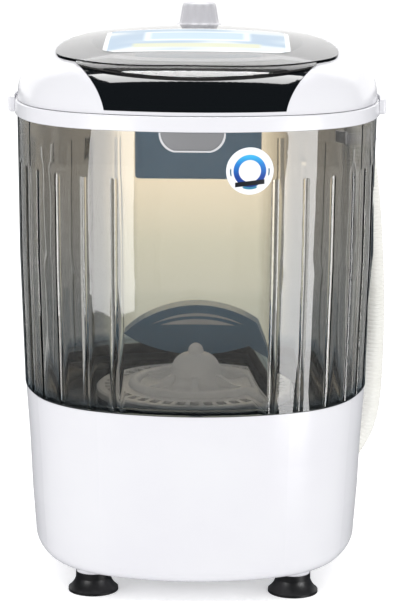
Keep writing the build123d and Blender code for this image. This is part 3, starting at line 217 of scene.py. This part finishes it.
def add_tub_tint_and_painted_shade(material):
    """The fluted sides carry painted shade, darker than the front and rear windows, and the lower edge is
    darkest.
    """
    axes = object_axes(material)
    # Painted shade: the colour darkens from the clear windows out over the fluted sides.
    tones_with_side_shade = ramp(material, math_node(material, "ABSOLUTE", axes["X"]), (
        (0.0, (0.96, 0.955, 0.94)), (WINDOW_HALF, (0.96, 0.955, 0.94)), (0.074, (0.8, 0.79, 0.765)),
        (0.13, (0.74, 0.735, 0.725)), (0.18, (0.66, 0.675, 0.685))))
    foot = slope(material, axes["Z"], *TUB_FOOT, 1.0, 0.0)
    tint_with_side_shade = blend(material, foot, tones_with_side_shade, (0.3, 0.36, 0.42))
    link(material, tint_with_side_shade, shader_of(material).inputs["Base Color"])


tub_clear = new_material("smoked_tub", (0.93, 0.925, 0.91), 0.03, Transmission_Weight=1.0, IOR=1.49)
add_grain(tub_clear, 0.05, 0.0001, spread=0.01)
add_absorption(tub_clear, (0.62, 0.6, 0.56), 110.0)
add_tub_tint_and_painted_shade(tub_clear)
lid_clear = new_material("smoked_lid", (0.9, 0.9, 0.9), 0.05, Transmission_Weight=1.0, IOR=1.49)
add_grain(lid_clear, 0.03, 0.0001, spread=0.02)
add_absorption(lid_clear, (0.5, 0.51, 0.53), 130.0)


STICKER_MIDDLE = Vector((0.0518, 0.0, 0.4331))
STICKER_RADIUS = 0.0223


def sticker_material():
    """A white disc with a blue ring that darkens downwards, thin blue marks and a blank dark ribbon."""
    material = new_material("sticker_film", (0.9, 0.9, 0.9), 0.3)
    place = add_node(material, "ShaderNodeTexCoord")
    shift = add_node(material, "ShaderNodeVectorMath", operation="SUBTRACT")
    shift.inputs[1].default_value = STICKER_MIDDLE
    flat = add_node(material, "ShaderNodeVectorMath", operation="MULTIPLY")
    flat.inputs[1].default_value = (1 / STICKER_RADIUS, 0, 1 / STICKER_RADIUS)
    length = add_node(material, "ShaderNodeVectorMath", operation="LENGTH")
    parts = add_node(material, "ShaderNodeSeparateXYZ")
    link(material, place.outputs["Object"], shift.inputs[0])
    link(material, shift.outputs["Vector"], flat.inputs[0])
    link(material, flat.outputs["Vector"], length.inputs[0])
    link(material, flat.outputs["Vector"], parts.inputs["Vector"])
    reach, right, up = length.outputs["Value"], parts.outputs["X"], parts.outputs["Z"]

    def both(first, second):
        return math_node(material, "MULTIPLY", first, second)

    blues = ramp(material, slope(material, up, -0.7, 0.7, shape="LINEAR"), (
        (0.0, (0.004, 0.03, 0.2)), (0.35, (0.005, 0.06, 0.34)), (0.7, (0.01, 0.2, 0.62)),
        (1.0, (0.04, 0.5, 0.85))))
    ring = ramp(material, reach, (
        (0.0, (0, 0, 0)), (0.455, (0, 0, 0)), (0.475, (1, 1, 1)), (0.68, (1, 1, 1)), (0.7, (0, 0, 0)),
        (1.0, (0, 0, 0))))
    color = blend(material, ring, (0.86, 0.87, 0.9), blues)
    marks = both(band(material, reach, 0.78, 0.84, 0.01), band(material, up, -0.2, 0.1, 0.05))
    color = blend(material, marks, color, (0.02, 0.11, 0.2))
    foot = both(band(material, reach, 0.68, 0.78, 0.01), band(material, right, -0.3, 0.3, 0.05))
    foot = both(foot, band(material, up, -0.9, -0.5, 0.02))
    color = blend(material, foot, color, (0.03, 0.22, 0.36))
    tilted = math_node(material, "SUBTRACT", up, math_node(material, "MULTIPLY", right, 0.1))
    ribbon = both(band(material, tilted, -0.62, -0.42, 0.01), band(material, right, -0.62, 0.62, 0.02))
    color = blend(material, ribbon, color, (0.012, 0.014, 0.02))
    link(material, color, shader_of(material).inputs["Base Color"])
    return material


LABEL_BOW = 1.56  # how far its front and rear edges bend, per square metre of X


def label_material():
    """A pale film: white border, cloudy blue field, a framed blue middle and a faint yellow band."""
    material = new_material("label_film", (0.8, 0.86, 0.92), 0.35)
    axes = object_axes(material)
    across = axes["X"]
    bow = math_node(material, "MULTIPLY", math_node(material, "MULTIPLY", across, across), LABEL_BOW)
    along = math_node(material, "SUBTRACT", axes["Y"], bow)
    waves = add_node(material, "ShaderNodeTexWave", wave_type="RINGS", Scale=9.0, Distortion=6.0,
                     Detail=1.0)
    link(material, coordinates(material, (1.0, 2.2, 1.0)), waves.inputs["Vector"])
    field = ramp(material, waves.outputs["Fac"], (
        (0.0, (0.29, 0.42, 0.56)), (0.45, (0.38, 0.5, 0.61)), (0.7, (0.54, 0.62, 0.68)),
        (1.0, (0.64, 0.68, 0.72))))

    def inside(half_x, low, high, soft):
        return math_node(material, "MULTIPLY", band(material, across, -half_x, half_x, soft),
                         band(material, along, low, high, soft))

    field = blend(material, inside(0.052, -0.062, -0.012, 0.003), field, (0.72, 0.8, 0.88))
    field = blend(material, inside(0.046, -0.055, -0.018, 0.003), field, (0.4, 0.56, 0.74))
    field = blend(material, inside(0.062, -0.09, -0.074, 0.003), field, (0.58, 0.6, 0.4))
    color = blend(material, inside(0.0865, -0.1025, 0.0065, 0.0006), (0.84, 0.85, 0.86), field)
    link(material, color, shader_of(material).inputs["Base Color"])
    return material


sticker_film = sticker_material()
label_film = label_material()

FINISHES = {
    white: ("base_housing", "top_collar", "top_cover", "side_grip_left", "side_grip_right", "hose_clip"),
    grey: ("bottom_cover", "timer_case", "bearing_housing", "drain_sump", "drain_grille", "drain_spout",
           "driven_pulley"),
    knob_white: ("timer_knob",),
    tub_clear: ("wash_tub",),
    lid_clear: ("lid",),
    fascia: ("front_fascia",),
    chrome: ("badge_frame",),
    brushed: ("badge_plate",),
    sticker_film: ("round_sticker",),
    label_film: ("lid_label",),
    rubber: ("foot_front_left", "foot_front_right", "foot_rear_left", "foot_rear_right", "tub_gasket",
             "shaft_seal", "motor_bushes", "drive_belt", "cord_gland", "spout_grommet", "sump_hose",
             "water_inlet"),
    zinc: ("bottom_cover_screws", "foot_studs", "cover_screws", "timer_screws", "housing_screws",
           "bracket_screws", "pulley_nut", "pulsator_screw", "capacitor_clamp", "motor_bracket",
           "lid_hinge_pins"),
    ground: ("pulsator_shaft", "timer_shaft", "motor_rotor"),
    bronze: ("upper_bush", "lower_bush"),
    motor_paint: ("motor_frame", "motor_end_cap"),
    iron: ("motor_stator",),
    alloy: ("motor_pulley",),
    capacitor: ("run_capacitor",),
    impeller: ("pulsator", "pulsator_cap", "lint_bars"),
    # The timer shroud's dark smoked blue is painted shade, standing in for a pale face left in shade behind
    # the tub wall.
    smoke_and_shroud_shade: ("lint_trap", "timer_shroud"),
    hose_plastic: ("drain_hose", "hose_nozzle"),
}
for material, names in FINISHES.items():
    for name in names:
        nodes[name].data.materials.clear()
        nodes[name].data.materials.append(material)


# ---- meshes ---------------------------------------------------------------------------------------
def mesh_object(name, vertices, faces, material, body):
    """A smooth piece with its faces turned outwards, riding on a body."""
    mesh = bpy.data.meshes.new(name)
    mesh.from_pydata([tuple(v) for v in vertices], [], faces)
    mesh.update()
    piece = bpy.data.objects.new(name, mesh)
    bpy.context.scene.collection.objects.link(piece)
    tidy = bmesh.new()
    tidy.from_mesh(mesh)
    bmesh.ops.recalc_face_normals(tidy, faces=tidy.faces)
    tidy.to_mesh(mesh)
    tidy.free()
    mesh.shade_smooth()
    mesh.materials.append(material)
    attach(piece, body)
    return piece


def ring_faces(rings, around, closed=True):
    """Quads between rings of vertices, each ring with the same number of vertices."""
    faces = []
    for ring in range(rings - (0 if closed else 1)):
        for step in range(around):
            a, b = ring * around, (ring + 1) % rings * around
            faces.append((a + step, a + (step + 1) % around, b + (step + 1) % around, b + step))
    return faces


# The drain hose: the route's points, a smooth line through them, and a corrugated wall round that line.
HOSE_ROUTE = ((0.15612, 0.12828, 0.06906), (0.1772, 0.1378, 0.09398), (0.189, 0.1405, 0.126),
              (0.1916, 0.1379, 0.184), (0.1918, 0.1344, 0.244), (0.1889, 0.1302, 0.304),
              (0.1839, 0.1256, 0.363), (0.1776, 0.1216, 0.411), (0.1714, 0.1186, 0.446))
HOSE_RADIUS = 0.0123
HOSE_GROOVE = 0.0116
HOSE_BORE = 0.0098
HOSE_PITCH = 0.0044
HOSE_PLAIN_START = 0.010
HOSE_PLAIN_END = 0.020
HOSE_CHAMFER = (0.0006, 0.0002)  # along the hose and in its radius
HOSE_AROUND = 40
HOSE_INSIDE_RINGS = 24
HOSE_RESOLUTION = 24
# Share of the pitch and radius there, from one crest to the next
HOSE_FOLD = ((0.12, HOSE_RADIUS - 0.0004), (0.3, HOSE_GROOVE), (0.5, HOSE_GROOVE - 0.0001),
             (0.68, HOSE_GROOVE + 0.0001), (0.86, HOSE_RADIUS - 0.0002), (1.0, HOSE_RADIUS))


def smooth_line(points, resolution):
    """Points along a NURBS line with these control points."""
    curve = bpy.data.curves.new("hose_line", "CURVE")
    curve.dimensions = "3D"
    curve.resolution_u = resolution
    spline = curve.splines.new("NURBS")
    spline.points.add(len(points) - 1)
    for control, point in zip(spline.points, points):
        control.co = (*point, 1)
    spline.order_u = 3
    spline.use_endpoint_u = True
    holder = bpy.data.objects.new("hose_line", curve)
    line_mesh = bpy.data.meshes.new_from_object(holder)
    line = [v.co.copy() for v in line_mesh.vertices]
    bpy.data.objects.remove(holder)
    bpy.data.curves.remove(curve)
    bpy.data.meshes.remove(line_mesh)
    return line


def at_distance(line, distances):
    """Points and directions at the given distances along a line."""
    found, travelled, index = [], 0.0, 0
    for distance in distances:
        while index < len(line) - 2 and travelled + (line[index + 1] - line[index]).length < distance:
            travelled += (line[index + 1] - line[index]).length
            index += 1
        run = line[index + 1] - line[index]
        found.append((line[index] + run.normalized() * (distance - travelled), run.normalized()))
    return found


hose_line = smooth_line(HOSE_ROUTE, HOSE_RESOLUTION)
line_length = sum((b - a).length for a, b in zip(hose_line, hose_line[1:]))
corrugated = line_length - HOSE_PLAIN_START - HOSE_PLAIN_END
folds = round(corrugated / HOSE_PITCH)
fold_length = corrugated / folds
chamfer_length, chamfer_depth = HOSE_CHAMFER
outside = [(0.0, HOSE_BORE), (0.0, HOSE_RADIUS - chamfer_depth), (chamfer_length, HOSE_RADIUS),
           (HOSE_PLAIN_START, HOSE_RADIUS)]
for fold in range(folds):
    start = HOSE_PLAIN_START + fold * fold_length
    outside += [(start + share * fold_length, radius) for share, radius in HOSE_FOLD]
outside += [(line_length - chamfer_length, HOSE_RADIUS), (line_length, HOSE_RADIUS - chamfer_depth),
            (line_length, HOSE_BORE)]
inside = [(line_length * step / HOSE_INSIDE_RINGS, HOSE_BORE) for step in range(1, HOSE_INSIDE_RINGS)]
frames = at_distance(hose_line, [distance for distance, _ in outside])
frames += at_distance(hose_line, [distance for distance, _ in inside])[::-1]
profile = outside + inside[::-1]
hose_vertices = []
for (spot, along), (_, radius) in zip(frames, profile):
    side = along.cross(Vector((0, 1, 0))).normalized()
    up = side.cross(along).normalized()
    for step in range(HOSE_AROUND):
        angle = 2 * math.pi * step / HOSE_AROUND
        hose_vertices.append(spot + (side * math.cos(angle) + up * math.sin(angle)) * radius)
hose = mesh_object("drain_hose_visual", hose_vertices, ring_faces(len(profile), HOSE_AROUND),
                   hose_plastic, "cabinet")
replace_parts(hose, "drain_hose")


# The knob: a tapered cap with shallow finger flutes that run out at the top.
KNOB_CENTER = Vector((0, 0.113, 0))
KNOB_FLUTES = 12
KNOB_AROUND = 240
KNOB_FLUTE_DEPTH = 0.0013
KNOB_FLUTE_SHARPNESS = 0.7
# Radius, height and share of the flutes' depth, from the bottom to the top
KNOB_OUTLINE = (
    (0.0030, 0.5486, 0), (0.0226, 0.5486, 0), (0.0233, 0.5489, 0), (0.0235, 0.5495, 0), (0.0234, 0.5502, 0),
    (0.0226, 0.5507, 0), (0.0213, 0.5510, 0), (0.0208, 0.5517, 0.25), (0.0205, 0.5535, 0.9),
    (0.0197, 0.558, 1), (0.0189, 0.563, 1), (0.0181, 0.5675, 0.95), (0.0176, 0.5697, 0.5),
    (0.0172, 0.5710, 0.12), (0.0165, 0.5720, 0), (0.0156, 0.5726, 0), (0.0144, 0.5727, 0),
    (0.0135, 0.5726, 0), (0.0129, 0.5721, 0), (0.0124, 0.5717, 0), (0.0114, 0.5716, 0),
    (0.0030, 0.5716, 0))


def knob_piece():
    vertices = []
    for radius, height, depth in KNOB_OUTLINE:
        for step in range(KNOB_AROUND):
            angle = 2 * math.pi * step / KNOB_AROUND
            swing = 0.5 + 0.5 * math.cos(KNOB_FLUTES * angle)
            reach = radius - depth * KNOB_FLUTE_DEPTH * (1 - swing ** KNOB_FLUTE_SHARPNESS)
            spot = Vector((reach * math.cos(angle), reach * math.sin(angle), height))
            vertices.append(KNOB_CENTER + spot)
    rings = len(KNOB_OUTLINE)
    faces = ring_faces(rings, KNOB_AROUND, closed=False)
    faces.append(tuple(range(KNOB_AROUND))[::-1])
    faces.append(tuple((rings - 1) * KNOB_AROUND + step for step in range(KNOB_AROUND)))
    return mesh_object("timer_knob_visual", vertices, faces, knob_white, "timer")


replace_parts(knob_piece(), "timer_knob")


# ---- floor, light and camera ----------------------------------------------------------------------
def bare_material(name):
    """A material with nothing but its output node."""
    material = bpy.data.materials.new(name)
    material.use_nodes = True
    material.node_tree.nodes.remove(shader_of(material))
    return material


def show(material, output):
    link(material, output, material.node_tree.nodes["Material Output"].inputs["Surface"])


def plane(name, corners, material):
    """A stage rectangle."""
    mesh = bpy.data.meshes.new(name)
    mesh.from_pydata(corners, [], [(0, 1, 2, 3)])
    mesh.materials.append(material)
    made = bpy.data.objects.new(name, mesh)
    bpy.context.scene.collection.objects.link(made)
    return made


def level(half_x, low_y, high_y, z):
    """The corners of a level rectangle."""
    return [(-half_x, low_y, z), (half_x, low_y, z), (half_x, high_y, z), (-half_x, high_y, z)]


FLOOR_HALF = 8
FLOOR_GLOW = 0.3  # weakens the shadow under the machine

floor_material = bare_material("floor")
paper = add_node(floor_material, "ShaderNodeBsdfDiffuse", Color=(0.94, 0.94, 0.94, 1))
lit = add_node(floor_material, "ShaderNodeEmission", Color=(1, 1, 1, 1), Strength=FLOOR_GLOW)
both = add_node(floor_material, "ShaderNodeAddShader")
link(floor_material, paper.outputs["BSDF"], both.inputs[0])
link(floor_material, lit.outputs["Emission"], both.inputs[1])
show(floor_material, both.outputs["Shader"])
floor = plane("floor", level(FLOOR_HALF, -FLOOR_HALF, FLOOR_HALF, 0), floor_material)
floor.visible_glossy = False  # the dark gloss stays free of its reflection


def glow_material(name, strength):
    material = bare_material(name)
    emission = add_node(material, "ShaderNodeEmission", Color=(1, 1, 1, 1), Strength=strength)
    show(material, emission.outputs["Emission"])
    return material


def seen_only_by(card, kind):
    """Leaves a stage card to one kind of ray, "glossy" or "transmission"."""
    card.visible_camera = card.visible_diffuse = card.visible_shadow = False
    card.visible_glossy = kind == "glossy"
    card.visible_transmission = kind == "transmission"


def reflector(name, bearing, half_width, distance, low, high, strength):
    """An upright panel that only glossy rays see, at a bearing in degrees to the right of the front."""
    angle = math.radians(bearing)
    out = Vector((math.sin(angle), -math.cos(angle), 0)) * distance
    across = Vector((math.cos(angle), math.sin(angle), 0)) * half_width
    foot, head = out + Vector((0, 0, low)), out + Vector((0, 0, high))
    card = plane(name, [foot - across, foot + across, head + across, head - across],
                 glow_material(name, strength))
    seen_only_by(card, "glossy")


# Name, bearing, half width, distance, height of the lower and upper edge, strength
REFLECTORS = (
    ("reflector_left", -38, 0.19, 0.95, 0.085, 0.37, 8),
    ("reflector_right", 51, 0.2, 0.95, -0.12, 0.37, 10),
    ("reflector_rear", 180, 2.5, 2.2, 0.4, 1.6, 1.3),
    ("reflector_high", 180, 2.5, 2.2, 1.6, 3.4, 2.2),
)
for reflector_row in REFLECTORS:
    reflector(*reflector_row)

TOP_CARD = (0.8, -0.22, 0.62, 2.0)  # half width, front and rear edge, height
TOP_CARD_STRENGTH = 12
seen_only_by(plane("reflector_top", level(*TOP_CARD), glow_material("reflector_top", TOP_CARD_STRENGTH)),
             "glossy")

# A glow behind the tub, warm in the middle, which only light that has passed through clear walls sees.
GLOW_X = 0.005  # how far left of the middle its warm part lies
GLOW_Y = 0.45
GLOW_HALF = 0.34
GLOW_TOP = 0.62
GLOW_WARM = (0.09, 0.12)  # distances from its middle between which the warm part ends


def backlight():
    glow = glow_material("glow", 1.0)
    axes = object_axes(glow)
    height = slope(glow, axes["Z"], 0.0, GLOW_TOP, shape="LINEAR")
    middle = ramp(glow, height, (
        (0.0, (0.66, 0.69, 0.66)), (0.25, (0.66, 0.68, 0.59)), (0.42, (0.9, 0.87, 0.69)),
        (0.55, (1.3, 1.13, 0.85)), (1.0, (1.3, 1.15, 0.9))))
    edge = ramp(glow, height, (
        (0.0, (0.26, 0.29, 0.31)), (0.3, (0.3, 0.32, 0.33)), (0.6, (0.46, 0.42, 0.36)),
        (1.0, (0.6, 0.53, 0.44))))
    off_middle = math_node(glow, "ABSOLUTE", math_node(glow, "ADD", axes["X"], GLOW_X))
    color = blend(glow, slope(glow, off_middle, *GLOW_WARM), middle, edge)
    link(glow, color, glow.node_tree.nodes["Emission"].inputs["Color"])
    corners = [(-GLOW_HALF, GLOW_Y, 0), (GLOW_HALF, GLOW_Y, 0), (GLOW_HALF, GLOW_Y, GLOW_TOP),
               (-GLOW_HALF, GLOW_Y, GLOW_TOP)]
    seen_only_by(plane("backlight", corners, glow), "transmission")


backlight()

SKY = ((1, 1, 1), 1.08)
# What reflections and light through clear walls find in place of the sky: colour and strength
SKY_FOR_RAYS = {"Is Glossy Ray": ((0.4, 0.5, 0.6), 0.12), "Is Transmission Ray": ((0.9, 0.87, 0.82), 0.62)}


def studio_world():
    world = bpy.data.worlds.new("studio")
    bpy.context.scene.world = world
    world.use_nodes = True
    sky = world.node_tree.nodes["Background"]
    sky.inputs["Color"].default_value = (*SKY[0], 1)
    sky.inputs["Strength"].default_value = SKY[1]
    shown = sky.outputs["Background"]
    path = add_node(world, "ShaderNodeLightPath")
    for ray, (color, strength) in SKY_FOR_RAYS.items():
        part = add_node(world, "ShaderNodeBackground", Color=(*color, 1), Strength=strength)
        choose = add_node(world, "ShaderNodeMixShader")
        link(world, path.outputs[ray], choose.inputs["Fac"])
        link(world, shown, choose.inputs[1])
        link(world, part.outputs["Background"], choose.inputs[2])
        shown = choose.outputs["Shader"]
    link(world, shown, world.node_tree.nodes["World Output"].inputs["Surface"])


studio_world()


def area_light(name, spot, target, size, power):
    """A soft rectangular light that is left out of reflections."""
    light = bpy.data.lights.new(name, "AREA")
    light.shape = "RECTANGLE"
    light.size, light.size_y = size
    light.energy = power
    lamp = bpy.data.objects.new(name, light)
    lamp.location = spot
    lamp.rotation_euler = (Vector(target) - Vector(spot)).to_track_quat("-Z", "Y").to_euler()
    lamp.visible_glossy = False
    bpy.context.scene.collection.objects.link(lamp)


area_light("top_light", (0, -0.5, 2.2), (0, 0, 0.4), (1.8, 1.4), 5)
area_light("left_light", (-1.8, -1.4, 1.2), (0, 0, 0.3), (1.0, 1.4), 3)
area_light("right_light", (1.8, -1.4, 1.2), (0, 0, 0.3), (1.0, 1.4), 2)

CAMERA_X = 0.0286
CAMERA_BACK = 2.214
CAMERA_HEIGHT = 0.7082
CAMERA_PITCH = 11.07
LENS = 131.52
CAMERA_AIM_X = 0.00449
CAMERA_ROLL = 0.38
SENSOR_WIDTH, SENSOR_HEIGHT = 24.02, 36
VIEW_REACH = 50
camera_data = bpy.data.cameras.new("camera")
camera_data.sensor_fit = "VERTICAL"
camera_data.sensor_height = SENSOR_HEIGHT
camera_data.sensor_width = SENSOR_WIDTH
camera_data.lens = LENS
camera_data.clip_end = VIEW_REACH
camera = bpy.data.objects.new("camera", camera_data)
camera.location = (CAMERA_X, -CAMERA_BACK, CAMERA_HEIGHT)
drop = CAMERA_BACK * math.tan(math.radians(CAMERA_PITCH))
aim = Vector((CAMERA_AIM_X, 0, CAMERA_HEIGHT - drop)) - camera.location
upright = aim.to_track_quat("-Z", "Y")
camera.rotation_euler = (upright @ Quaternion((0, 0, 1), math.radians(CAMERA_ROLL))).to_euler()
bpy.context.scene.collection.objects.link(camera)
bpy.context.scene.camera = camera
bpy.context.scene.view_settings.view_transform = "Standard"
